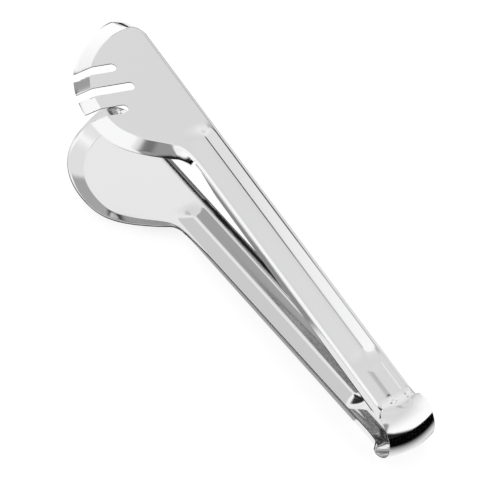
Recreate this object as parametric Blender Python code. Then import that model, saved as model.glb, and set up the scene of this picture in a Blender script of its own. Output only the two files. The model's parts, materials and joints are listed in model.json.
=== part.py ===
"""Barbecue tongs pressed from spring steel sheet: two channel arms with D-shaped dished jaws, the upper
jaw slotted into four tines, joined by a crowned bow that springs them open. Metres, +Z up; the tongs
stand on the lower jaw and the bow, jaws towards -X, the round side of the jaws towards -Y."""

import math

import bmesh
import bpy
from mathutils import Matrix, Vector

# Sheet and arms. An arm is described flat: s runs from the jaw's far corner to the bow, y from the
# near edge to the far edge, and depth from the arm's outer face towards the other arm.
SHEET = 0.0010
ARM_WIDTH = 0.0270
ARM_LENGTH = 0.3100
FOLD_RADIUS = 0.0025
FLANGE_ANGLE = math.radians(83)
FLANGE_WALL_AT_NECK = 0.0033
FLANGE_WALL_AT_BOW = 0.0062
OPENING_AT_CORNERS = 0.0998
OPENING_ANGLE = math.radians(11.5)
SEAM_GAP = 0.0004

# Jaw. Each point of the fold, where the flat floor turns up into the rim, has four shares: along the
# jaw's length from the far corner to the neck; across, of the bulge beyond the arm's near fold or, if
# negative, of the arm's floor; how far the flange has opened into a rim; how far the side rim has
# become the front rim.
JAW_LENGTH = 0.1250
JAW_BULGE = 0.0328
JAW_FOLD_SHARES = (
    (0.900, 0.000, 0.00, 0.00),
    (0.800, 0.018, 0.34, 0.00),
    (0.712, 0.095, 0.76, 0.00),
    (0.640, 0.335, 0.92, 0.00),
    (0.560, 0.660, 0.97, 0.00),
    (0.465, 0.915, 1.00, 0.00),
    (0.360, 1.000, 1.00, 0.00),
    (0.250, 0.970, 1.00, 0.05),
    (0.145, 0.829, 1.00, 0.15),
    (0.060, 0.580, 1.00, 0.28),
    (0.000, 0.268, 1.00, 0.30),
    (-0.032, -0.077, 1.00, 0.50),
    (-0.040, -0.550, 1.00, 1.00),
    (-0.022, -0.880, 0.60, 0.90),
    (0.024, -1.000, 0.00, 0.00),
)
RIM_RADIUS = 0.0030
RIM_ANGLE_SIDE = math.radians(26)
RIM_WALL_SIDE = 0.0104
RIM_ANGLE_FRONT = math.radians(30)
RIM_WALL_FRONT = 0.0149

# Relief notch in the near edge, between the rim and the near flange, which starts from nothing
# there and grows to its full height along the arm. The notch leaves a share of the fold's arc.
NOTCH_BEFORE_NECK = 0.0120
NOTCH_LENGTH = 0.0026
NOTCH_CORNER = 0.0006
NOTCH_FOLD_SHARE = 0.5
FULL_FLANGE_PAST_NECK = 0.0175

# Slots that part the upper jaw into tines: how far each stops short of the far fold.
SLOT_WIDTH = 0.0062
SLOT_PITCH = 0.0169
SLOT_LEAN = math.radians(17)
FIRST_SLOT_FROM_CORNER = 0.0256
SLOT_STOPS = (0.0295, 0.0268, 0.0398)
CUT_OVERRUN = 0.0200

# Bead that stiffens an arm, raised on its outer face, and the sunk panel beside the bow.
BEAD_BEFORE_NECK = 0.0345
BEAD_RAMP_AT_JAW = 0.0030
BEAD_RAMP_AT_BOW = 0.0130
BEAD_HALF_WIDTH = 0.0080
BEAD_OFF_CENTRE = 0.0010
BEAD_RISE = 0.0016
BEAD_BLUNTNESS_SHARE = 0.3
PANEL_BEFORE_FLANGE_END = 0.0290
PANEL_PAST_FLANGE_END = 0.0100
PANEL_HALF_WIDTH = 0.0068
PANEL_WALL = 0.0025
PANEL_SINK = 0.0006
PANEL_END_SHARE = 0.2

# Bow: the shoulder turns up from the arm, then a tight arc and a wide arc go round to the front.
SHOULDER_BEFORE_FLANGE_END = 0.0070
SHOULDER_RADIUS = 0.0230
SHOULDER_TURN = math.radians(17.5)
BOW_TOP_RADIUS = 0.0178
BOW_TOP_END = math.radians(50)
BOW_HALF_WIDTH = 0.0172
BOW_CROWN = 0.0030
WIDENING_LENGTH = 0.0120
FLANGE_RUN_OUT = 0.0025
BAND_EDGE_SHARE = 0.78
SEAM_AFTER_FLANGE = 0.0140

ARC_STEPS = 5
BULB_ROWS = 30
BOW_ROWS = 12
ROUND_STEPS = 8

FLOOR_HALF = ARM_WIDTH / 2 - FOLD_RADIUS
HALF_OPENING = OPENING_ANGLE / 2
PANEL_START = ARM_LENGTH - PANEL_BEFORE_FLANGE_END
PANEL_END = ARM_LENGTH + PANEL_PAST_FLANGE_END
SHOULDER_START = ARM_LENGTH - SHOULDER_BEFORE_FLANGE_END
SEAM = ARM_LENGTH + SEAM_AFTER_FLANGE
SEAM_HINGE_DEPTH = (SHEET + BOW_CROWN) / 2
NECK_END = JAW_LENGTH * JAW_FOLD_SHARES[0][0]
BEAD_START = NECK_END - BEAD_BEFORE_NECK
NOTCH_START = NECK_END - NOTCH_BEFORE_NECK
NOTCH_END = NOTCH_START + NOTCH_LENGTH
FULL_FLANGE = NECK_END + FULL_FLANGE_PAST_NECK
STRIP_SHARES = (-1.0, -0.62, -0.28, 0.0, 0.28, 0.62, 1.0)


def mix(a, b, share):
    return a + (b - a) * share


def smooth(share):
    share = min(max(share, 0.0), 1.0)
    return share * share * (3 - 2 * share)


def clear_scene():
    for obj in list(bpy.data.objects):
        bpy.data.objects.remove(obj)


def polished_steel():
    material = bpy.data.materials.new("polished_steel")
    material.use_nodes = True
    shader = material.node_tree.nodes["Principled BSDF"]
    shader.inputs["Base Color"].default_value = (0.76, 0.76, 0.77, 1)
    shader.inputs["Metallic"].default_value = 1
    shader.inputs["Roughness"].default_value = 0.12
    return material


def fold_at(share):
    """(s, y, opened, front) of the jaw's fold at this share of its points, on a Catmull-Rom curve."""
    points = []
    for along, across, opened, front in JAW_FOLD_SHARES:
        reach = JAW_BULGE if across > 0 else 2 * FLOOR_HALF
        points.append((along * JAW_LENGTH, -FLOOR_HALF - across * reach, opened, front))
    position = min(max(share, 0.0), 1.0) * (len(points) - 1)
    i = min(int(position), len(points) - 2)
    t = position - i
    before = points[i - 1] if i else (2 * NECK_END - points[1][0], -FLOOR_HALF, 0.0, 0.0)
    after = points[min(i + 2, len(points) - 1)]
    values = []
    for a, b, c, d in zip(before, points[i], points[i + 1], after):
        enters, leaves = (c - a) / 2, (d - b) / 2
        cubic = (2 * (b - c) + enters + leaves) * t**3
        square = (3 * (c - b) - 2 * enters - leaves) * t**2
        values.append(cubic + square + enters * t + b)
    return values


def fold_point(share):
    """(s, y) of the jaw's fold."""
    return Vector(fold_at(share)[:2])


def fold_share_at(s):
    """The share of the fold between the neck and the widest place where it passes s."""
    low, high = 0.0, 0.5
    for _ in range(40):
        middle = (low + high) / 2
        if fold_point(middle).x > s:
            low = middle
        else:
            high = middle
    return low


def wall_profile(angle, wall, radius, kept=1.0):
    """(outward, depth) points from the fold's start round its arc, or the share of it that is kept,
    to the sheet's free edge."""
    points = []
    for step in range(1, ARC_STEPS + 1):
        turn = angle * kept * step / ARC_STEPS
        points.append((radius * math.sin(turn), radius * (1 - math.cos(turn))))
    out, deep = points[-1]
    points.append((out + wall * math.cos(angle), deep + wall * math.sin(angle)))
    return points


def rim_profile(share, s):
    """The near wall beside the jaw and past the notch, where the flange opens into the rim."""
    _, _, opened, front = fold_at(share)
    opened = min(max(opened, 0.0), 1.0)
    front = min(max(front, 0.0), 1.0)
    wall = mix(FLANGE_WALL_AT_NECK, mix(RIM_WALL_SIDE, RIM_WALL_FRONT, front), opened**2)
    if s > NOTCH_START:
        wall *= near_flange_growth(s)
    return wall_profile(
        mix(FLANGE_ANGLE, mix(RIM_ANGLE_SIDE, RIM_ANGLE_FRONT, front), opened),
        wall,
        mix(FOLD_RADIUS, RIM_RADIUS, opened),
        NOTCH_FOLD_SHARE if NOTCH_START < s < NOTCH_END else 1.0,
    )


def near_flange_growth(s):
    return smooth((s - NOTCH_END) / (FULL_FLANGE - NOTCH_END))


def flange_wall(s):
    """Straight height of the far flange."""
    share = (s - NECK_END) / (ARM_LENGTH - NECK_END)
    return mix(FLANGE_WALL_AT_NECK, FLANGE_WALL_AT_BOW, min(max(share, 0.0), 1.0))


def flange_profile(s):
    return wall_profile(FLANGE_ANGLE, flange_wall(s), FOLD_RADIUS)


def bead_depth(share):
    """A roof with a rounded ridge across the bead, 0 at its feet and 1 on its ridge."""
    blunt = BEAD_BLUNTNESS_SHARE
    foot = math.sqrt(1 + blunt**2)
    return (foot - math.sqrt(share**2 + blunt**2)) / (foot - blunt)


def floor_points(s):
    """(y, depth) of the seven points across the bead or the panel at s."""
    if s < PANEL_START:
        up = smooth((s - BEAD_START) / BEAD_RAMP_AT_JAW)
        down = smooth((PANEL_START - s) / BEAD_RAMP_AT_BOW)
        rise = BEAD_RISE * min(up, down)
        return [
            (BEAD_OFF_CENTRE + BEAD_HALF_WIDTH * share, -rise * bead_depth(share))
            for share in STRIP_SHARES
        ]
    round_start = PANEL_END - PANEL_HALF_WIDTH
    beyond = min(max((s - round_start) / PANEL_HALF_WIDTH, 0.0), 1.0)
    half = PANEL_HALF_WIDTH * max(math.sqrt(1 - beyond**2), PANEL_END_SHARE)
    sunk = min(smooth((s - PANEL_START) / PANEL_WALL), smooth((PANEL_END - s) / PANEL_WALL))
    floor = max(half - PANEL_WALL, half / 2)
    places = (-half, -floor, -floor / 2, 0.0, floor / 2, floor, half)
    return [
        (BEAD_OFF_CENTRE + y, 0.0 if abs(y) == half else PANEL_SINK * sunk) for y in places
    ]


def jaw_row(share, far_s):
    """One row of (s, y, depth) across the jaw, from the rim round its fold to the far flange."""
    near = fold_point(share)
    tangent = (fold_point(share + 1e-3) - fold_point(share - 1e-3)).normalized()
    outward = Vector((-tangent.y, tangent.x))
    if share >= 1:
        outward = Vector((0, 1))
    rim = [
        (near.x + outward.x * out, near.y + outward.y * out, deep)
        for out, deep in rim_profile(share, far_s)
    ]
    flange = [(far_s, FLOOR_HALF + out, deep) for out, deep in flange_profile(far_s)]
    far = Vector((far_s, FLOOR_HALF))
    bead = floor_points(far_s)
    floor = []
    for i, (y, deep) in enumerate(bead):
        even = near.lerp(far, (i + 1) / (len(bead) + 1))
        kept = Vector((far_s, y))
        place = even.lerp(kept, smooth((far_s - BEAD_START / 2) / (BEAD_START / 2)))
        floor.append((place.x, place.y, deep))
    return rim[::-1] + [(near.x, near.y, 0.0)] + floor + [(far.x, far.y, 0.0)] + flange


def arm_row(s):
    """One row across the channel arm."""
    near_wall = wall_profile(FLANGE_ANGLE, flange_wall(s) * near_flange_growth(s), FOLD_RADIUS)
    near = [(s, -FLOOR_HALF - out, deep) for out, deep in near_wall]
    far = [(s, FLOOR_HALF + out, deep) for out, deep in flange_profile(s)]
    floor = [(s, y, deep) for y, deep in floor_points(s)]
    return near[::-1] + [(s, -FLOOR_HALF, 0.0)] + floor + [(s, FLOOR_HALF, 0.0)] + far


def band_row(s):
    """One row across the crowned band, from the flanges' run-out round the bow."""
    share = (s - ARM_LENGTH) / WIDENING_LENGTH
    turn = min(share, 1.0) * math.pi / 2
    half = mix(ARM_WIDTH / 2, BOW_HALF_WIDTH, math.sin(turn))
    crown = BOW_CROWN * smooth(share)
    edge = [
        mix(BAND_EDGE_SHARE, 1.0, step / (ARC_STEPS + 1)) * half for step in range(ARC_STEPS + 2)
    ]
    places = [-y for y in edge[::-1]]
    row = [(s, y, crown * (y / half) ** 2) for y in places]
    row += [(s, y, crown * (y / half) ** 2 + deep) for y, deep in floor_points(s)]
    row += [(s, y, crown * (y / half) ** 2) for y in edge]
    return row


def arm_rows():
    """All rows of an arm, from the seam at the bow to the far corner of the jaw."""
    rows = []
    run_out = ARM_LENGTH + FLANGE_RUN_OUT
    for i in range(6):
        rows.append(band_row(mix(SEAM - SEAM_GAP / 2, run_out, i / 5)))
    straight = [ARM_LENGTH, SHOULDER_START, PANEL_START + PANEL_WALL, PANEL_START]
    straight += [PANEL_START - BEAD_RAMP_AT_BOW * step / 4 for step in range(1, 5)]
    straight += [mix(PANEL_START, NECK_END, 0.5), FULL_FLANGE]
    rows += [arm_row(s) for s in straight]
    neck = [mix(NECK_END, NOTCH_END, step / 3) for step in range(4)]
    neck += [NOTCH_END - NOTCH_CORNER, NOTCH_START + NOTCH_CORNER]
    neck += [mix(NOTCH_START, BEAD_START + BEAD_RAMP_AT_JAW, step / 6) for step in range(7)]
    neck += [BEAD_START + BEAD_RAMP_AT_JAW / 2, BEAD_START]
    rows += [jaw_row(fold_share_at(s), s) for s in neck]
    start = fold_share_at(BEAD_START)
    for step in range(1, BULB_ROWS + 1):
        share = mix(start, 1.0, step / BULB_ROWS)
        corner_s = JAW_FOLD_SHARES[-1][0] * JAW_LENGTH
        rows.append(jaw_row(share, mix(BEAD_START, corner_s, step / BULB_ROWS)))
    return rows


def spine(s):
    """(x, z, slope) of the sheet's outer face at y = 0, in the frame whose plane z = 0 is midway
    between the arms; the slope is the angle above +X."""
    slope = -HALF_OPENING
    x = min(s, SHOULDER_START) * math.cos(slope)
    z = OPENING_AT_CORNERS / 2 + min(s, SHOULDER_START) * math.sin(slope)
    left = s - SHOULDER_START
    for radius, turn in ((-SHOULDER_RADIUS, SHOULDER_TURN), (BOW_TOP_RADIUS, None), (None, None)):
        if left <= 0:
            break
        if radius is None:
            radius = z / math.sin(math.pi / 2 + slope)
            turn = math.pi / 2 + slope
        elif turn is None:
            turn = slope + BOW_TOP_END
        run = min(left, abs(radius) * turn)
        after = slope - run / radius
        x += radius * (math.sin(slope) - math.sin(after))
        z += radius * (math.cos(after) - math.cos(slope))
        slope = after
        left -= run
    return x, z, slope


def spine_length():
    """Length of the spine from the far corner's level to the front of the bow."""
    shoulder = SHOULDER_START + SHOULDER_RADIUS * SHOULDER_TURN
    top = BOW_TOP_RADIUS * (SHOULDER_TURN - HALF_OPENING + BOW_TOP_END)
    _, z, slope = spine(shoulder + top)
    return shoulder + top + z / math.sin(math.pi / 2 + slope) * (math.pi / 2 + slope)


def place(s, y, depth, side=1):
    """A flat point of the strip, bent to shape: side 1 is the upper half and -1 the lower."""
    x, z, slope = spine(s)
    x -= depth * math.sin(-slope)
    z -= depth * math.cos(slope)
    return Vector((x, y, side * z))


def resting_pose(points):
    """Stands the tongs on the bow, on the lower arm beside its jaw and on the jaw's round side, with
    the middle of their box over the origin."""
    middle = ARM_LENGTH / 2
    bow = [p for p in points if p.x > middle]
    arm = [p for p in points if p.x < middle and p.y > -FLOOR_HALF]
    jaw = [p for p in points if p.x < middle and p.y < -FLOOR_HALF - JAW_BULGE / 2]
    turn = Matrix.Identity(4)
    for _ in range(12):
        at_bow, at_arm, at_jaw = (
            turn @ min(group, key=lambda p: (turn @ p).z) for group in (bow, arm, jaw)
        )
        upright = (at_arm - at_bow).cross(at_jaw - at_bow)
        if upright.z < 0:
            upright.negate()
        turn = upright.rotation_difference(Vector((0, 0, 1))).to_matrix().to_4x4() @ turn
    turned = [turn @ p for p in points]
    low = Vector(min(p[i] for p in turned) for i in range(3))
    high = Vector(max(p[i] for p in turned) for i in range(3))
    shift = Matrix.Translation((-(low.x + high.x) / 2, -(low.y + high.y) / 2, -low.z))
    return shift @ turn


def sheet_object(name, rows, faces_turned, pose, origin, material):
    """Skins rows of points into an outer face and gives it the sheet's thickness inwards."""
    mesh = bpy.data.meshes.new(name)
    shell = bmesh.new()
    skin = [[shell.verts.new(pose @ p - origin) for p in row] for row in rows]
    for first, second in zip(skin, skin[1:]):
        for i in range(len(first) - 1):
            corners = [first[i], first[i + 1], second[i + 1], second[i]]
            shell.faces.new(corners[::-1] if faces_turned else corners)
    bmesh.ops.remove_doubles(shell, verts=shell.verts, dist=SHEET / 100)
    bmesh.ops.dissolve_degenerate(shell, edges=shell.edges, dist=SHEET / 100)
    shell.to_mesh(mesh)
    shell.free()
    mesh.materials.append(material)
    mesh.shade_smooth()
    mesh.set_sharp_from_angle(angle=math.radians(40))
    obj = bpy.data.objects.new(name, mesh)
    bpy.context.scene.collection.objects.link(obj)
    obj.location = origin
    wall = obj.modifiers.new("sheet", "SOLIDIFY")
    wall.thickness = SHEET
    wall.offset = -1
    wall.use_even_offset = True
    return obj


def slot_outline(number):
    """(s, y) round one slot, from its round end out past the rim."""
    along = Vector((-math.sin(SLOT_LEAN), -math.cos(SLOT_LEAN)))
    side = Vector((along.y, -along.x))
    stop = SLOT_STOPS[number]
    reach = (stop + SLOT_WIDTH / 2) / math.cos(SLOT_LEAN)
    start = Vector((FIRST_SLOT_FROM_CORNER + number * SLOT_PITCH, FLOOR_HALF))
    centre = start + along * reach
    mouth = centre + along * (JAW_BULGE + 2 * FLOOR_HALF + CUT_OVERRUN)
    outline = [mouth + side * SLOT_WIDTH / 2]
    for step in range(ROUND_STEPS + 1):
        turn = math.pi * step / ROUND_STEPS
        outline.append(centre + (side * math.cos(turn) - along * math.sin(turn)) * SLOT_WIDTH / 2)
    outline.append(mouth - side * SLOT_WIDTH / 2)
    return outline


def slot_cutter(pose):
    """The prisms that cut the slots right through the upper jaw."""
    mesh = bpy.data.meshes.new("slot_cutter")
    prisms = bmesh.new()
    for number in range(len(SLOT_STOPS)):
        outline = slot_outline(number)
        top = [prisms.verts.new(pose @ place(p.x, p.y, -CUT_OVERRUN)) for p in outline]
        low = [prisms.verts.new(pose @ place(p.x, p.y, CUT_OVERRUN)) for p in outline]
        prisms.faces.new(top)
        prisms.faces.new(low[::-1])
        for i in range(len(outline)):
            j = (i + 1) % len(outline)
            prisms.faces.new([top[j], top[i], low[i], low[j]])
    bmesh.ops.recalc_face_normals(prisms, faces=prisms.faces)
    prisms.to_mesh(mesh)
    prisms.free()
    cutter = bpy.data.objects.new("slot_cutter", mesh)
    bpy.context.scene.collection.objects.link(cutter)
    cutter.hide_render = True
    cutter.display_type = "WIRE"
    return cutter


def cut(obj, cutter):
    boolean = obj.modifiers.new(cutter.name, "BOOLEAN")
    boolean.object = cutter
    boolean.operation = "DIFFERENCE"
    boolean.solver = "EXACT"


def arm_points(side):
    return [[place(*point, side=side) for point in row] for row in arm_rows()]


def bow_points():
    """Rows of the bow from the upper seam over the front to the lower seam."""
    front = spine_length()
    rows = []
    for step in range(2 * BOW_ROWS + 1):
        share = 1 - abs(step / BOW_ROWS - 1)
        row = band_row(mix(SEAM + SEAM_GAP / 2, front, share))
        rows.append([place(*point, side=1 if step <= BOW_ROWS else -1) for point in row])
    return rows


def seam_hinge(pose, side):
    return pose @ place(SEAM, 0, SEAM_HINGE_DEPTH, side=side)


def upper_arm(pose, material):
    """The arm that ends in the slotted jaw, with its origin on the bow's upper seam."""
    obj = sheet_object("upper_arm", arm_points(1), False, pose, seam_hinge(pose, 1), material)
    cutter = slot_cutter(pose)
    cut(obj, cutter)
    return obj, cutter


def lower_arm(pose, material):
    """The arm that ends in the plain jaw, with its origin on the bow's lower seam."""
    return sheet_object("lower_arm", arm_points(-1), True, pose, seam_hinge(pose, -1), material)


def spring_bow(pose, material):
    """The crowned band that joins the arms, with its origin on its lower seam."""
    return sheet_object("spring_bow", bow_points(), True, pose, seam_hinge(pose, -1), material)


def main():
    clear_scene()
    rows = arm_points(1) + arm_points(-1) + bow_points()
    pose = resting_pose([point for row in rows for point in row])
    material = polished_steel()
    tongs = bpy.data.objects.new("tongs", None)
    bpy.context.scene.collection.objects.link(tongs)
    upper, cutter = upper_arm(pose, material)
    for obj in (upper, cutter, lower_arm(pose, material), spring_bow(pose, material)):
        obj.parent = tongs


main()
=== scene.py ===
"""Barbecue tongs pressed from one strip of polished spring steel, standing on a pale studio floor.
Metres, +Z up; the jaws point to -X and their round side to -Y."""

import json

import bmesh
import bpy
import numpy as np
from mathutils import Matrix, Vector


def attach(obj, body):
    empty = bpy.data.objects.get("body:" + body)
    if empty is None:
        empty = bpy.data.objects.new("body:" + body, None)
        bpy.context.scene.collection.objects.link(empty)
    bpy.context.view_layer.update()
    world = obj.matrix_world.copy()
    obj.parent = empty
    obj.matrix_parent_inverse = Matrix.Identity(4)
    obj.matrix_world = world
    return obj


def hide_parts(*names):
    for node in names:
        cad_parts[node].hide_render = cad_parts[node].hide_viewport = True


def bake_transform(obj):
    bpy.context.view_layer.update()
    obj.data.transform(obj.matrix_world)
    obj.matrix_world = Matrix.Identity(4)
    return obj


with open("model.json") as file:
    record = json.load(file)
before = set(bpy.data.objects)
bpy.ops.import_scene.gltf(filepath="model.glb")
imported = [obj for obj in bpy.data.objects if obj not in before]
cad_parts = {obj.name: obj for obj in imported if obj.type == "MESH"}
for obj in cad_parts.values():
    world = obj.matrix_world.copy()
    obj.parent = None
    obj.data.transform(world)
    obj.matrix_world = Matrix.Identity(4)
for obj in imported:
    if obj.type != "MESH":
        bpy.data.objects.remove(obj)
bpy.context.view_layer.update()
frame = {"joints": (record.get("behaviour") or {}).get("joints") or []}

# Upper arm. One half of a strip of 1 mm stainless spring steel: the slots are blanked first, then the
# press turns the flanges down, dishes the jaw, raises the bead and sinks the panel, and the whole
# strip is polished. It is described flat, as (s, y, depth): s from the jaw's far corner to the bow,
# y from the near edge to the far edge, depth from the outer face towards the other arm.
SHEET = 0.0010
ARM_WIDTH = 0.0270
ARM_LENGTH = 0.3100
FOLD_RADIUS = 0.0025
FLANGE_ANGLE = np.radians(83)
FLANGE_WALL_AT_NECK = 0.0033
FLANGE_WALL_AT_BOW = 0.0062
OPENING_AT_CORNERS = 0.0998
HALF_OPENING = np.radians(5.75)

# Where the jaw's floor turns up into the rim: shares along the jaw from its far corner; across the
# bulge or, if negative, across the floor; opened from flange to rim; turned from side to front rim.
JAW_LENGTH = 0.1250
JAW_BULGE = 0.0328
JAW_FOLD_SHARES = (
    (0.900, 0.000, 0.00, 0.00),
    (0.800, 0.018, 0.34, 0.00),
    (0.712, 0.095, 0.76, 0.00),
    (0.640, 0.335, 0.92, 0.00),
    (0.560, 0.660, 0.97, 0.00),
    (0.465, 0.915, 1.00, 0.00),
    (0.360, 1.000, 1.00, 0.00),
    (0.250, 0.970, 1.00, 0.05),
    (0.145, 0.829, 1.00, 0.15),
    (0.060, 0.580, 1.00, 0.28),
    (0.000, 0.268, 1.00, 0.30),
    (-0.032, -0.077, 1.00, 0.50),
    (-0.040, -0.550, 1.00, 1.00),
    (-0.022, -0.880, 0.60, 0.90),
    (0.024, -1.000, 0.00, 0.00),
)
RIM_RADIUS = 0.0030
RIM_ANGLE_SIDE = np.radians(26)
RIM_WALL_SIDE = 0.0104
RIM_ANGLE_FRONT = np.radians(30)
RIM_WALL_FRONT = 0.0149

# Relief notch between the rim and the near flange, which grows from nothing there to its full
# height along the arm. The notch leaves a share of the fold.
NOTCH_START = 0.1005
NOTCH_END = 0.1031
NOTCH_CORNER = 0.0006
NOTCH_FOLD_SHARE = 0.5
FULL_FLANGE = 0.1300

BEAD_START = 0.0780
BEAD_RAMP_AT_JAW = 0.0120
BEAD_RAMP_AT_BOW = 0.0130
BEAD_NEAR_WIDTH = 0.0115
BEAD_FAR_WIDTH = 0.0096
BEAD_OFF_CENTRE = 0.0010
BEAD_RISE = 0.0016
BEAD_BLUNTNESS = 0.12
FOOT_EASING = 0.06
FOOT_FADE = 0.35
PANEL_START = 0.2810
PANEL_END = 0.3200
PANEL_HALF_WIDTH = 0.0068
PANEL_WALL_NEAR = 0.0068
PANEL_WALL_FAR = 0.0016
PANEL_SINK = 0.0003

SHOULDER_START = 0.3030
SHOULDER_RADIUS = 0.0230
SHOULDER_TURN = np.radians(17.5)
BOW_TOP_RADIUS = 0.0178
BOW_TOP_END = np.radians(50)
BOW_HALF_WIDTH = 0.0172
BOW_CROWN = 0.0030
WIDENING_LENGTH = 0.0120
FLANGE_RUN_OUT = 0.0025
SEAM = 0.3240
EDGE_SHARE = 0.78

FLOOR_HALF = ARM_WIDTH / 2 - FOLD_RADIUS
NECK_END = JAW_LENGTH * JAW_FOLD_SHARES[0][0]
CORNER = JAW_LENGTH * JAW_FOLD_SHARES[-1][0]
FOLD_EASING = 1.3
FOLD_STEPS = 16
STEPS_PER_COLUMN = 8
WALL_SHARES = np.linspace(0, 1, 5)[1:]
FLOOR_SHARES = np.linspace(0, 1, 74)[1:-1]
GUIDE_STEPS = 2000
FAN_ROWS = 170
FAN_ROWS_LEFT_OUT = 5
MERGE_DISTANCE = SHEET / 100


def smooth(t):
    """3t^2 - 2t^3, with t held between 0 and 1."""
    t = np.clip(t, 0, 1)
    return t * t * (3 - 2 * t)


def mix(a, b, share):
    """a + share (b - a)."""
    return a + (b - a) * share


def fold_line(share):
    """Rows of (s, y, opened, front) at shares of the jaw's fold: the cubic spline through the points
    of JAW_FOLD_SHARES whose slopes m solve m[i-1] + 4 m[i] + m[i+1] = 3 (p[i+1] - p[i-1])."""
    along, across, opened, front = np.array(JAW_FOLD_SHARES).T
    reach = np.where(across > 0, JAW_BULGE, 2 * FLOOR_HALF)
    p = np.stack((along * JAW_LENGTH, -FLOOR_HALF - across * reach, opened, front), 1)
    n = len(p)
    system = np.diag(np.full(n, 4.0)) + np.diag(np.ones(n - 1), 1) + np.diag(np.ones(n - 1), -1)
    right = np.zeros_like(p)
    right[1:-1] = 3 * (p[2:] - p[:-2])
    system[0, :2] = 1, 0
    system[-1, -2:] = 0, 1
    right[0] = (p[1, 0] - p[0, 0], 0, 0, 0)
    right[-1] = (p[-1] - p[-2]) / 2
    slopes = np.linalg.solve(system, right)
    place = np.clip(share, 0, 1) * (n - 1)
    i = np.minimum(place.astype(int), n - 2)
    t = (place - i)[:, None]
    a, b, enters, leaves = p[i], p[i + 1], slopes[i], slopes[i + 1]
    cubic = 2 * (a - b) + enters + leaves
    square = 3 * (b - a) - 2 * enters - leaves
    return ((cubic * t + square) * t + enters) * t + a


def wall_profile(angle, height, radius, kept=1.0):
    """(outward, depth) across each row's wall, counted from where a fold of radius would start. The
    fold is eased: its slope is angle (3u^2 - 2u^3) at shares u of a length FOLD_EASING times the
    arc's, with both of its tangents where the arc has them. A straight runs on to the free edge.
    Where only a share of the fold is kept, the sheet ends there."""
    angle, height, radius = angle[:, None], height[:, None], radius[:, None]
    count = STEPS_PER_COLUMN * FOLD_STEPS
    whole = np.linspace(0, 1, count + 1)
    slope = angle * smooth(whole)
    step = FOLD_EASING * radius * angle / count
    out, deep = (
        np.hstack((0 * step, np.cumsum(step * (part[:, 1:] + part[:, :-1]) / 2, 1)))
        for part in (np.cos(slope), np.sin(slope))
    )
    earlier = deep[:, -1:] / np.sin(angle) - radius * np.tan(angle / 2)
    kept = np.broadcast_to(kept, angle.shape[:1])[:, None]
    column = np.rint(whole[::STEPS_PER_COLUMN] * kept * count)
    out, deep = (np.take_along_axis(part, column.astype(int), 1) for part in (out, deep))
    straight = np.maximum(height - earlier, 0) * WALL_SHARES
    out = np.hstack((out, out[:, -1:] + straight * np.cos(angle))) - earlier
    deep = np.hstack((deep, deep[:, -1:] + straight * np.sin(angle)))
    return out, deep


def flange_height(s):
    share = np.clip((s - NECK_END) / (ARM_LENGTH - NECK_END), 0, 1)
    return mix(FLANGE_WALL_AT_NECK, FLANGE_WALL_AT_BOW, share)


def far_profile(s):
    return wall_profile(np.full_like(s, FLANGE_ANGLE), flange_height(s), np.full_like(s, FOLD_RADIUS))


def near_profile(s, opened, front):
    """The rim beside the jaw, the notch, and the near flange that opens into the rim."""
    opened, front = np.clip(opened, 0, 1), np.clip(front, 0, 1)
    rim_height = mix(FLANGE_WALL_AT_NECK, mix(RIM_WALL_SIDE, RIM_WALL_FRONT, front), opened**2)
    height = np.where(s < NECK_END, rim_height, flange_height(s))
    beside_jaw = smooth((NOTCH_START + NOTCH_CORNER - s) / NOTCH_CORNER)
    past_notch = smooth((s - NOTCH_END + NOTCH_CORNER) / NOTCH_CORNER)
    grown = smooth((s - NOTCH_END) / (FULL_FLANGE - NOTCH_END))
    return wall_profile(
        mix(FLANGE_ANGLE, mix(RIM_ANGLE_SIDE, RIM_ANGLE_FRONT, front), opened),
        height * np.maximum(beside_jaw, grown),
        mix(FOLD_RADIUS, RIM_RADIUS, opened),
        mix(NOTCH_FOLD_SHARE, 1, np.maximum(beside_jaw, past_notch)),
    )


def pressed_depth(s, y):
    """Depth of the bead and the panel. The bead is a roof r = sqrt(1+b^2) - sqrt(t^2+b^2), b its
    bluntness and t the share from ridge to foot, scaled to 1 at the ridge; its feet are eased by
    (r + sqrt(r^2+f^2)) / 2 and fade out past the folds. The panel sinks over its wall, wider on the
    near side, inside a round-ended outline."""
    t = np.abs(y - BEAD_OFF_CENTRE) / np.where(y < BEAD_OFF_CENTRE, BEAD_NEAR_WIDTH, BEAD_FAR_WIDTH)
    b = BEAD_BLUNTNESS
    roof = (np.sqrt(1 + b * b) - np.sqrt(t * t + b * b)) / (np.sqrt(1 + b * b) - b)
    roof = (roof + np.sqrt(roof**2 + FOOT_EASING**2)) / 2 * (1 - smooth((t - 1) / FOOT_FADE))
    ramp_up = smooth((s - BEAD_START) / BEAD_RAMP_AT_JAW)
    ramp_down = smooth((PANEL_START - s) / BEAD_RAMP_AT_BOW)
    bead = BEAD_RISE * np.minimum(ramp_up, ramp_down) * roof
    beyond = np.maximum(s - (PANEL_END - PANEL_HALF_WIDTH), 0)
    inside = PANEL_HALF_WIDTH - np.hypot(beyond, y - BEAD_OFF_CENTRE)
    inside = np.minimum(inside, s - PANEL_START)
    side = smooth((y - BEAD_OFF_CENTRE) / PANEL_HALF_WIDTH / 2 + 0.5)
    return PANEL_SINK * smooth(inside / mix(PANEL_WALL_NEAR, PANEL_WALL_FAR, side)) - bead


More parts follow.
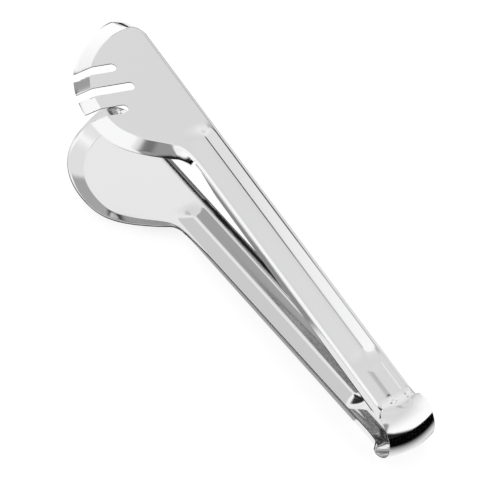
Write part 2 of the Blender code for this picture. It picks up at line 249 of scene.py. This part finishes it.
def bend_arcs():
    """(start s, radius, turn) of the shoulder, the bow's top and the bow's front, which ends
    upright on the plane midway between the arms."""
    slope, z = -HALF_OPENING, OPENING_AT_CORNERS / 2 - SHOULDER_START * np.sin(HALF_OPENING)
    arcs, start = [], SHOULDER_START
    for radius, turn in ((-SHOULDER_RADIUS, SHOULDER_TURN), (BOW_TOP_RADIUS, None), (None, None)):
        if radius is None:
            radius, turn = z / np.cos(slope), np.pi / 2 + slope
        elif turn is None:
            turn = slope + BOW_TOP_END
        after = slope - turn * np.sign(radius)
        arcs.append((start, radius, turn))
        z += radius * (np.cos(after) - np.cos(slope))
        slope, start = after, start + abs(radius) * turn
    return arcs, start


ARCS, FRONT = bend_arcs()


def arm_grid():
    """Rows of (s, y, depth) from the seam to the jaw's far corner: near wall, floor, far wall. Round
    the jaw the rows fan out along the fold, and stand square to it."""
    s = np.concatenate((
        mix(SEAM, ARM_LENGTH + FLANGE_RUN_OUT, np.linspace(0, 1, 33)[:-1] ** 2),
        np.linspace(ARM_LENGTH + FLANGE_RUN_OUT, ARM_LENGTH, 9)[:-1],
        np.linspace(ARM_LENGTH, PANEL_START - BEAD_RAMP_AT_BOW, 80)[:-1],
        np.linspace(PANEL_START - BEAD_RAMP_AT_BOW, NECK_END, 40)[:-1],
        np.linspace(NECK_END, NOTCH_END, 14)[:-1],
        np.linspace(NOTCH_END, NOTCH_START, 27)[:-1],
        np.linspace(NOTCH_START, BEAD_START + BEAD_RAMP_AT_JAW, 28)[:-1],
        np.linspace(BEAD_START + BEAD_RAMP_AT_JAW, BEAD_START, 9),
    ))
    guide = np.linspace(0, 0.5, GUIDE_STEPS)
    share = np.interp(-s, -fold_line(guide)[:, 0], guide)
    bulb = np.append(np.linspace(0, 1, FAN_ROWS + 1)[1:-FAN_ROWS_LEFT_OUT], 1)
    share = np.concatenate((share, mix(share[-1], 1, bulb)))
    far_s = np.concatenate((s, mix(BEAD_START, CORNER, bulb)))

    near = fold_line(share)
    near_s = np.where(np.arange(len(far_s)) < len(s), far_s, near[:, 0])
    step = (fold_line(share + 1 / GUIDE_STEPS) - fold_line(share - 1 / GUIDE_STEPS))[:, :2]
    step[far_s >= NECK_END] = -1, 0
    step[-1] = 1, 0
    step /= np.linalg.norm(step, axis=1)[:, None]
    outward_s, outward_y = -step[:, 1:], step[:, :1]

    out, deep = near_profile(far_s, near[:, 2], near[:, 3])
    arm_out, arm_deep = far_profile(far_s)
    wall_s, wall_y = near_s[:, None] + outward_s * out, near[:, 1:2] + outward_y * out
    far_wall_s, far_wall_y = np.repeat(far_s[:, None], out.shape[1], 1), FLOOR_HALF + arm_out
    floor_s = mix(wall_s[:, :1], far_wall_s[:, :1], FLOOR_SHARES)
    floor_y = mix(wall_y[:, :1], far_wall_y[:, :1], FLOOR_SHARES)
    s = np.hstack((wall_s[:, ::-1], floor_s, far_wall_s))
    y = np.hstack((wall_y[:, ::-1], floor_y, far_wall_y))
    walls = np.hstack((deep[:, ::-1], 0 * floor_s, arm_deep))
    return np.stack((s, y, walls + pressed_depth(s, y)))


def crowned(grid):
    """The grid with the flanges run out into the crowned band: past the flanges' end the columns
    spread evenly over the band's half width, which widens with the sine of the way along it."""
    s, y, depth = grid
    share = (s - ARM_LENGTH) / WIDENING_LENGTH
    half = mix(ARM_WIDTH / 2, BOW_HALF_WIDTH, np.sin(np.clip(share, 0, 1) * np.pi / 2))
    crown = BOW_CROWN * smooth(share)
    edge = np.linspace(1, EDGE_SHARE, FOLD_STEPS + 1 + len(WALL_SHARES))
    across = np.concatenate((-edge, mix(-EDGE_SHARE, EDGE_SHARE, FLOOR_SHARES), edge[::-1]))
    spread = smooth((s - ARM_LENGTH) / FLANGE_RUN_OUT)
    band_y = half * across
    y = mix(y, band_y, spread)
    depth = mix(depth, crown * across**2 + pressed_depth(s, band_y), spread)
    return np.stack((s, y, depth))


def bent(grid, side):
    """Points of the bent strip: (x, z) and slope a follow the spine, straight and then arc by arc,
    x += r (sin a - sin a'), z += r (cos a' - cos a), and depth runs square to it. side 1 is the
    upper half of the strip and -1 the lower."""
    s, y, depth = grid
    slope = np.full_like(s, -HALF_OPENING)
    straight = np.minimum(s, SHOULDER_START)
    x = straight * np.cos(HALF_OPENING)
    z = OPENING_AT_CORNERS / 2 - straight * np.sin(HALF_OPENING)
    for start, radius, turn in ARCS:
        after = slope - np.clip(s - start, 0, abs(radius) * turn) / radius
        x = x + radius * (np.sin(slope) - np.sin(after))
        z = z + radius * (np.cos(after) - np.cos(slope))
        slope = after
    return np.stack((x + depth * np.sin(slope), y, side * (z - depth * np.cos(slope))), -1)


def standing_pose():
    """The turn and shift that stand the tongs as the frame holds them, from its two hinges, which
    lie on the seams at half the crowned sheet's depth."""
    hinges = {joint["name"]: joint for joint in frame["joints"]}
    low, high = (np.array(hinges[name]["pos_m"]) for name in ("bow_flex", "upper_arm_flex"))
    across = -np.array(hinges["bow_flex"]["axis"])
    along = np.cross(across, high - low)
    along, across = along / np.linalg.norm(along), across / np.linalg.norm(across)
    turn = np.stack((along, across, np.cross(along, across)), 1)
    seam = bent(np.array([[SEAM], [0.0], [(SHEET + BOW_CROWN) / 2]]), 1)[0]
    return turn, (low + high) / 2 - turn @ (seam * (1, 1, 0))


TURN, SHIFT = standing_pose()


def stood(points):
    return points @ TURN.T + SHIFT


def two_slots(mesh):
    """Empty material slots: the first for the sheet's faces, the second for its cut edges."""
    for _ in range(2):
        mesh.materials.append(None)


def skin(name, points, side):
    """A mesh of quads over rows and columns of points, its seams closed and facing outwards."""
    rows, columns = points.shape[:2]
    corner = np.arange(rows * columns).reshape(rows, columns)
    quads = np.stack((corner[:-1, :-1], corner[:-1, 1:], corner[1:, 1:], corner[1:, :-1]), -1)
    quads = quads.reshape(-1, 4)[:, ::side]
    mesh = bpy.data.meshes.new(name)
    mesh.from_pydata(stood(points).reshape(-1, 3), [], quads.tolist())
    two_slots(mesh)
    merged = bmesh.new()
    merged.from_mesh(mesh)
    bmesh.ops.remove_doubles(merged, verts=merged.verts, dist=MERGE_DISTANCE)
    bmesh.ops.dissolve_degenerate(merged, edges=merged.edges, dist=MERGE_DISTANCE)
    merged.to_mesh(mesh)
    merged.free()
    obj = bpy.data.objects.new(name, mesh)
    bpy.context.scene.collection.objects.link(obj)
    return obj


def thickened(obj):
    """Gives a skin the sheet's thickness inwards, its cut edges in the second material slot."""
    wall = obj.modifiers.new("sheet", "SOLIDIFY")
    wall.material_offset_rim = 1
    wall.thickness = SHEET
    wall.offset = -1
    wall.use_even_offset = True


EDGE_ROUND = 0.00018
SHARPEST_BEND = np.radians(50)
SHADED_SHARP = np.radians(38)
SQUARE_TO_STRIP = 0.9


def finished(obj, material):
    """Makes the modifiers part of the mesh, rounds the sheet's free edges, all but those where the
    strip goes on in the next piece, marks the cut faces and gives the piece its finish."""
    bpy.context.view_layer.update()
    done = bpy.data.meshes.new_from_object(obj.evaluated_get(bpy.context.evaluated_depsgraph_get()))
    obj.modifiers.clear()
    obj.data = done
    rounded = bmesh.new()
    rounded.from_mesh(done)
    ends = [(Vector(on_spine(SEAM, side)), Vector(along_spine(SEAM, side))) for side in (1, -1)]
    joined = {
        face
        for face in rounded.faces
        for end, along in ends
        if abs(face.normal.dot(along)) > SQUARE_TO_STRIP
        and abs((face.calc_center_median() - end).dot(along)) < SHEET
    }
    edges = [
        edge
        for edge in rounded.edges
        if edge.is_manifold
        and {face.material_index for face in edge.link_faces} == {0, 1}
        and edge.calc_face_angle() > SHARPEST_BEND
        and joined.isdisjoint(edge.link_faces)
    ]
    bmesh.ops.bevel(
        rounded, geom=edges, offset=EDGE_ROUND, segments=2, profile=0.5, affect="EDGES", clamp_overlap=False
    )
    cut = [float(face.material_index) for face in rounded.faces]
    for face in rounded.faces:
        face.material_index = 0
    rounded.to_mesh(done)
    rounded.free()
    done.attributes.new("cut_edge", "FLOAT", "FACE").data.foreach_set("value", cut)
    done.materials.clear()
    done.materials.append(material)
    done.shade_smooth()
    done.set_sharp_from_angle(angle=SHADED_SHARP)


class Socket:
    """A node's output that takes part in Python expressions; each operator adds a Math node."""

    def __init__(self, tree, socket):
        self.tree, self.socket = tree, socket

    def math(self, operation, *values):
        return node(self.tree, "ShaderNodeMath", {"operation": operation}, values)

    def __add__(self, other):
        return self.math("ADD", self, other)

    def __mul__(self, other):
        return self.math("MULTIPLY", self, other)

    def __sub__(self, other):
        return self.math("SUBTRACT", self, other)

    def __rsub__(self, other):
        return self.math("SUBTRACT", other, self)

    def smooth(self, low, high):
        """3t^2 - 2t^3 as the value goes from low to high, which may be the smaller."""
        settings = {"interpolation_type": "SMOOTHSTEP"}
        inputs = {"Value": self, "From Min": low, "From Max": high}
        return node(self.tree, "ShaderNodeMapRange", settings, inputs)

    def towards(self, value, share):
        """self + share (value - self)."""
        return self + share * (value - self)

    __radd__, __rmul__ = __add__, __mul__


def node(tree, kind, settings, inputs, output=0):
    """Adds a node with these settings; inputs are values or Sockets, in order or by name."""
    made = tree.nodes.new(kind)
    for key, value in settings.items():
        setattr(made, key, value)
    pairs = inputs.items() if isinstance(inputs, dict) else enumerate(inputs)
    for key, value in pairs:
        if isinstance(value, Socket):
            tree.links.new(value.socket, made.inputs[key])
        else:
            made.inputs[key].default_value = value
    return Socket(tree, made.outputs[output])


STEEL_COLOUR = (0.68, 0.68, 0.685, 1)
# The cut edges' near-black colour is painted shade: it stands in for the dark surroundings that the edges
# reflect.
CUT_EDGE_PAINTED_SHADE = (0.05, 0.05, 0.05, 1)
POLISH_ROUGHNESS = 0.03
LINES_ROUGHNESS = 0.04
HAZE_ROUGHNESS = 0.04
CUT_ROUGHNESS = 0.35
POLISHING_LINES_PER_METRE = (60, 2200, 2200)
HAZE_PER_METRE = 45.0


def polished_steel():
    """Bright polished stainless steel, with fine lengthwise polishing lines and faint handling haze
    in the roughness; the sheet's cut edges are duller, and their near-black colour is painted shade
    that stands in for the dark surroundings they reflect."""
    material = bpy.data.materials.new("polished_steel")
    material.use_nodes = True
    tree = material.node_tree
    shader = tree.nodes["Principled BSDF"]
    place = node(tree, "ShaderNodeTexCoord", {}, {}, "Object")
    stretched = node(tree, "ShaderNodeMapping", {}, {"Vector": place, "Scale": POLISHING_LINES_PER_METRE})
    lines = node(tree, "ShaderNodeTexNoise", {}, {"Vector": stretched, "Scale": 1.0, "Detail": 2.0})
    haze = node(tree, "ShaderNodeTexNoise", {}, {"Vector": place, "Scale": HAZE_PER_METRE, "Detail": 3.0})
    cut = node(tree, "ShaderNodeAttribute", {"attribute_name": "cut_edge"}, {}, "Fac")
    roughness = POLISH_ROUGHNESS + LINES_ROUGHNESS * lines + HAZE_ROUGHNESS * haze
    roughness = roughness.towards(CUT_ROUGHNESS, cut)
    tree.links.new(roughness.socket, shader.inputs["Roughness"])
    # The cut faces take the painted shade colour; the rest keeps the steel's own colour.
    colours = {0: cut, 6: STEEL_COLOUR, 7: CUT_EDGE_PAINTED_SHADE}
    steel_and_painted_shade = node(tree, "ShaderNodeMix", {"data_type": "RGBA"}, colours, 2)
    tree.links.new(steel_and_painted_shade.socket, shader.inputs["Base Color"])
    shader.inputs["Metallic"].default_value = 1
    return material


steel = polished_steel()

SLOT_WIDTH = 0.0062
SLOT_PITCH = 0.0169
SLOT_LEAN = np.radians(17)
FIRST_SLOT_FROM_CORNER = 0.0256
SLOT_STOPS = (0.0295, 0.0268, 0.0398)
SLOT_END_POINTS = 25
CUT_OVERRUN = 0.0200


def slot_cutter(number):
    """A prism through the jaw: a slot with a half-round end, open at the rim."""
    along = np.array((-np.sin(SLOT_LEAN), -np.cos(SLOT_LEAN)))
    side = np.array((along[1], -along[0]))
    start = np.array((FIRST_SLOT_FROM_CORNER + number * SLOT_PITCH, FLOOR_HALF))
    centre = start + along * (SLOT_STOPS[number] + SLOT_WIDTH / 2) / np.cos(SLOT_LEAN)
    turn = np.linspace(0, np.pi, SLOT_END_POINTS)[:, None]
    end = centre + (side * np.cos(turn) - along * np.sin(turn)) * SLOT_WIDTH / 2
    mouth = along * (JAW_BULGE + 2 * FLOOR_HALF + CUT_OVERRUN)
    outline = np.vstack((end[:1] + mouth, end, end[-1:] + mouth))
    count = len(outline)
    rings = [np.vstack((outline.T, np.full(count, deep))) for deep in (-CUT_OVERRUN, CUT_OVERRUN)]
    points = stood(np.vstack([bent(ring, 1) for ring in rings]))
    this = np.arange(count)
    after = (this + 1) % count
    sides = np.stack((after, this, this + count, after + count), 1).tolist()
    mesh = bpy.data.meshes.new("slot_cutter")
    mesh.from_pydata(points, [], sides + [this.tolist(), (this + count)[::-1].tolist()])
    two_slots(mesh)
    closed = bmesh.new()
    closed.from_mesh(mesh)
    for face in closed.faces:
        face.material_index = 1
    bmesh.ops.recalc_face_normals(closed, faces=closed.faces)
    closed.to_mesh(mesh)
    closed.free()
    cutter = bpy.data.objects.new("slot_cutter", mesh)
    bpy.context.scene.collection.objects.link(cutter)
    return cutter


def on_spine(s, side):
    """The point of the sheet's middle at s, standing."""
    return stood(bent(np.array([[s], [0.0], [SHEET / 2]]), side)[0])


def along_spine(s, side):
    """The direction of the strip at s, standing."""
    return (on_spine(s + SHEET, side) - on_spine(s - SHEET, side)) / (2 * SHEET)


arm = crowned(arm_grid())
upper = skin("upper_arm_sheet", bent(arm, 1), 1)
thickened(upper)
cutters = [slot_cutter(number) for number in range(len(SLOT_STOPS))]
for cutter in cutters:
    cut = upper.modifiers.new("slot", "BOOLEAN")
    cut.object = cutter
    cut.operation = "DIFFERENCE"
    cut.solver = "EXACT"
finished(upper, steel)
for cutter in cutters:
    bpy.data.objects.remove(cutter)
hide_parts("upper_arm")
on_spine(ARM_LENGTH, 1)
on_spine(SEAM, 1)
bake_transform(upper)

# Lower arm. The other half of the strip, pressed in the same tool but without slots, so that its
# jaw holds what is served.
lower = skin("lower_arm_sheet", bent(arm, -1), -1)
thickened(lower)
finished(lower, steel)
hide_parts("lower_arm")
on_spine(ARM_LENGTH, -1)
on_spine(SEAM, -1)
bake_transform(lower)

# Bow. The middle of the strip, left without flanges and slightly crowned, bent round so that it
# springs the arms open.
BOW_ROWS = 70
BOW_ROWS_CROWDED = 1.5


def bow_grid(share):
    s = np.repeat(mix(SEAM, FRONT, share)[:, None], arm.shape[2], 1)
    return crowned(np.stack((s, 0 * s, 0 * s)))


half_bow = np.linspace(0, 1, BOW_ROWS) ** BOW_ROWS_CROWDED
rows = np.concatenate((bent(bow_grid(half_bow), 1), bent(bow_grid(half_bow[-2::-1]), -1)))
bow = skin("bow_sheet", rows, -1)
thickened(bow)
finished(bow, steel)
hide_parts("spring_bow")
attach(bow, "bow")

# Studio. A pale floor and a white room. The steel mirrors a room of its own, with soft panels and
# dark screens placed for the camera's view, which give a polished surface its contrast.
ROOM_LEVEL = 1.1
PANELS = (
    # level, its edges in azimuth and in elevation: degrees just outside and just inside each edge
    (1.38, ((112, 107), (78, 88)), ((43, 45), (56, 53))),
    (1.07, ((85, 95), (119, 113)), ((44, 41),)),
    (1.07, ((111, 113), (122, 117)), ((50, 48),)),
    (0.70, ((100, 106), (129, 122)), ((49, 53), (65, 56))),
    (0.02, ((111.5, 112.5), (119, 116)), ((50, 51.5), (58, 56))),
    (0.86, ((125, 128), (140, 137)), ((30, 34), (46, 42))),
    (0.03, ((141.5, 144.5), (163, 158)), ((28, 31), (42.5, 40.5))),
    (0.50, ((163, 168),), ((52, 55), (61, 59))),
    (0.22, ((-40, -35), (-14, -22)), ((60, 58),)),
    (0.42, ((-40, -35), (-14, -22)), ((56.5, 54.5),)),
)
SCREEN_FROM, SCREEN_TO = -110, 80
SCREEN_TOP = (
    # azimuth, height of the dark screen's upper edge as a share of SCREEN_HEIGHT above SCREEN_FOOT
    (-110, 0.24), (-100, 0.33), (-80, 0.41), (-60, 0.52), (-45, 0.60), (-35, 0.64), (-29, 0.65), (-26, 0.76),
    (-22, 0.74), (-15, 0.53), (-5, 0.41), (10, 0.32), (25, 0.24), (60, 0.17), (80, 0.17),
)
SCREEN_HEIGHT = 90
SCREEN_FOOT = -22


def within(value, edges):
    """1 inside the edges and 0 outside, going over smoothly from just outside to just inside each."""
    share = value.smooth(*edges[0])
    for edge in edges[1:]:
        share = share * value.smooth(*edge)
    return share


def curve(value, low, high, stops):
    """A broken line of heights over shares of the way from low to high, both between 0 and 1."""
    made = value.tree.nodes.new("ShaderNodeFloatCurve")
    points = made.mapping.curves[0].points
    while len(points) < len(stops):
        points.new(0.5, 0.5)
    for point, (place, height) in zip(points, stops):
        point.location = (place - low) / (high - low), height
        point.handle_type = "VECTOR"
    made.mapping.update()
    share = node(value.tree, "ShaderNodeMapRange", {}, {"Value": value, "From Min": low, "From Max": high})
    value.tree.links.new(share.socket, made.inputs["Value"])
    return Socket(value.tree, made.outputs[0])


world = bpy.data.worlds.new("studio")
bpy.context.scene.world = world
world.use_nodes = True
tree = world.node_tree
place = node(tree, "ShaderNodeTexCoord", {}, {}, "Generated")
parts = node(tree, "ShaderNodeSeparateXYZ", {}, (place,))
x, y, z = (Socket(tree, output) for output in parts.socket.node.outputs)
azimuth = y.math("ARCTAN2", y, x) * (180 / np.pi)
elevation = z.math("ARCSINE", z) * (180 / np.pi)

room = ROOM_LEVEL - 0.12 * elevation.smooth(90, 68) + 0.47 * elevation.smooth(72, 18)
beside_jaw = within(azimuth, ((-172, -162), (-38, -46))) * elevation.smooth(84, 80)
beside_jaw_foot = elevation - 20 * azimuth.smooth(-138, -145)
room = room.towards(1.38, beside_jaw * beside_jaw_foot.smooth(42, 48))
for level, azimuths, elevations in PANELS:
    room = room.towards(level, within(azimuth, azimuths) * within(elevation, elevations))
top = SCREEN_HEIGHT * curve(azimuth, SCREEN_FROM, SCREEN_TO, SCREEN_TOP) + SCREEN_FOOT
room = room.towards(0.02, within(azimuth, ((-110, -95), (80, 62))) * (elevation - top).smooth(5, -5))
post_top = 50 - 13 * azimuth.smooth(-150, -140)
post = within(azimuth, ((-168, -160), (-118, -124))) * (elevation - post_top).smooth(2, -2)
room = room.towards(0.48 - 0.46 * azimuth.smooth(-150, -138), post)
room = room.towards(0.52, within(azimuth, ((112, 116), (153, 146))) * elevation.smooth(29, 26))

rays = tree.nodes.new("ShaderNodeLightPath")
seen_in_steel = Socket(tree, rays.outputs["Is Glossy Ray"])
background = tree.nodes["Background"]
background.inputs["Color"].default_value = (1, 1, 1, 1)
light = room * seen_in_steel + (1 - seen_in_steel)
tree.links.new(light.socket, background.inputs["Strength"])

FLOOR_REACH = 6.0
GLOW = 0.8
FLOOR_GREY = (0.25, 0.25, 0.25, 1)
MIRRORED_LEVEL = 1.15
MIRRORED_END = (0.210, 0.170)
MIRRORED_SIDES = ((0.45, 0.25), (-0.45, -0.25))
# Painted shadows of the tongs on the floor, around and under them, which only the steel sees in its
# reflections.
PAINTED_SHADOW_PATCHES = (
    # level, left, right, front, back, width of the soft edge
    (0.36, -0.120, 0.060, -0.100, -0.0150, 0.0200),
    (0.06, -0.010, 0.180, 0.020, 0.0800, 0.0200),
    (0.06, -0.065, -0.020, -0.160, -0.0900, 0.0200),
    (0.06, -0.090, -0.035, 0.120, 0.1900, 0.0200),
    (0.50, -0.080, 0.130, 0.000, 0.0120, 0.0010),
    (0.02, -0.080, 0.130, -0.020, 0.0038, 0.0008),
)
corners = [(-FLOOR_REACH, -FLOOR_REACH, 0), (FLOOR_REACH, -FLOOR_REACH, 0)]
corners += [(FLOOR_REACH, FLOOR_REACH, 0), (-FLOOR_REACH, FLOOR_REACH, 0)]
floor_mesh = bpy.data.meshes.new("floor")
floor_mesh.from_pydata(corners, [], [(0, 1, 2, 3)])
floor = bpy.data.objects.new("floor", floor_mesh)
bpy.context.scene.collection.objects.link(floor)


def pale_floor():
    """A matt floor that takes the tongs' shadow, over a plain glow that makes it read white; the steel
    mirrors it as a white table, which ends just beyond the bow, with painted shadows of the tongs as
    darker patches on it."""
    material = bpy.data.materials.new("pale_floor")
    material.use_nodes = True
    tree = material.node_tree
    tree.nodes.remove(tree.nodes["Principled BSDF"])
    rays = tree.nodes.new("ShaderNodeLightPath")
    mirrored = Socket(tree, rays.outputs["Is Glossy Ray"])
    place = node(tree, "ShaderNodeTexCoord", {}, {}, "Object")
    parts = node(tree, "ShaderNodeSeparateXYZ", {}, (place,))
    x, y = parts, Socket(tree, parts.socket.node.outputs["Y"])
    table = MIRRORED_LEVEL * x.smooth(*MIRRORED_END) * within(y, MIRRORED_SIDES)
    # Paints the tongs' shadows into the floor as the steel mirrors it.
    for level, left, right, front, back, soft in PAINTED_SHADOW_PATCHES:
        across = within(x, ((left, left + soft), (right, right - soft)))
        table = table.towards(level, across * within(y, ((front, front + soft), (back, back - soft))))
    strength = GLOW + mirrored * (table - GLOW)
    glow = node(tree, "ShaderNodeEmission", {}, {"Color": (1, 1, 1, 1), "Strength": strength})
    matt = node(tree, "ShaderNodeBsdfDiffuse", {}, {"Color": FLOOR_GREY})
    lit = node(tree, "ShaderNodeAddShader", {}, (glow, matt))
    shown = node(tree, "ShaderNodeMixShader", {}, (mirrored, lit, glow))
    tree.links.new(shown.socket, tree.nodes["Material Output"].inputs["Surface"])
    return material


floor_mesh.materials.append(pale_floor())

# Camera, in the tongs' own frame.
CAMERA_FROM = np.array((1.323436, -0.994991, 2.000530))
CAMERA_AT = np.array((0.154169, -0.013466, 0.017937))
CAMERA_UP = np.array((-0.684808, 0.406232, 0.604990))
CAMERA_FIELD = np.radians(6.912148)
CAMERA_REACH = 20.0
camera = bpy.data.objects.new("camera", bpy.data.cameras.new("camera"))
bpy.context.scene.collection.objects.link(camera)
bpy.context.scene.camera = camera
camera.data.angle = CAMERA_FIELD
look = TURN @ (CAMERA_AT - CAMERA_FROM)
look /= np.linalg.norm(look)
up = TURN @ CAMERA_UP
right = np.cross(look, up)
right /= np.linalg.norm(right)
axes = np.stack((right, np.cross(right, look), -look), 1)
camera.matrix_world = Matrix.Translation(stood(CAMERA_FROM)) @ Matrix(axes.tolist()).to_4x4()
camera.data.clip_end = CAMERA_REACH

bpy.context.scene.view_settings.view_transform = "Standard"
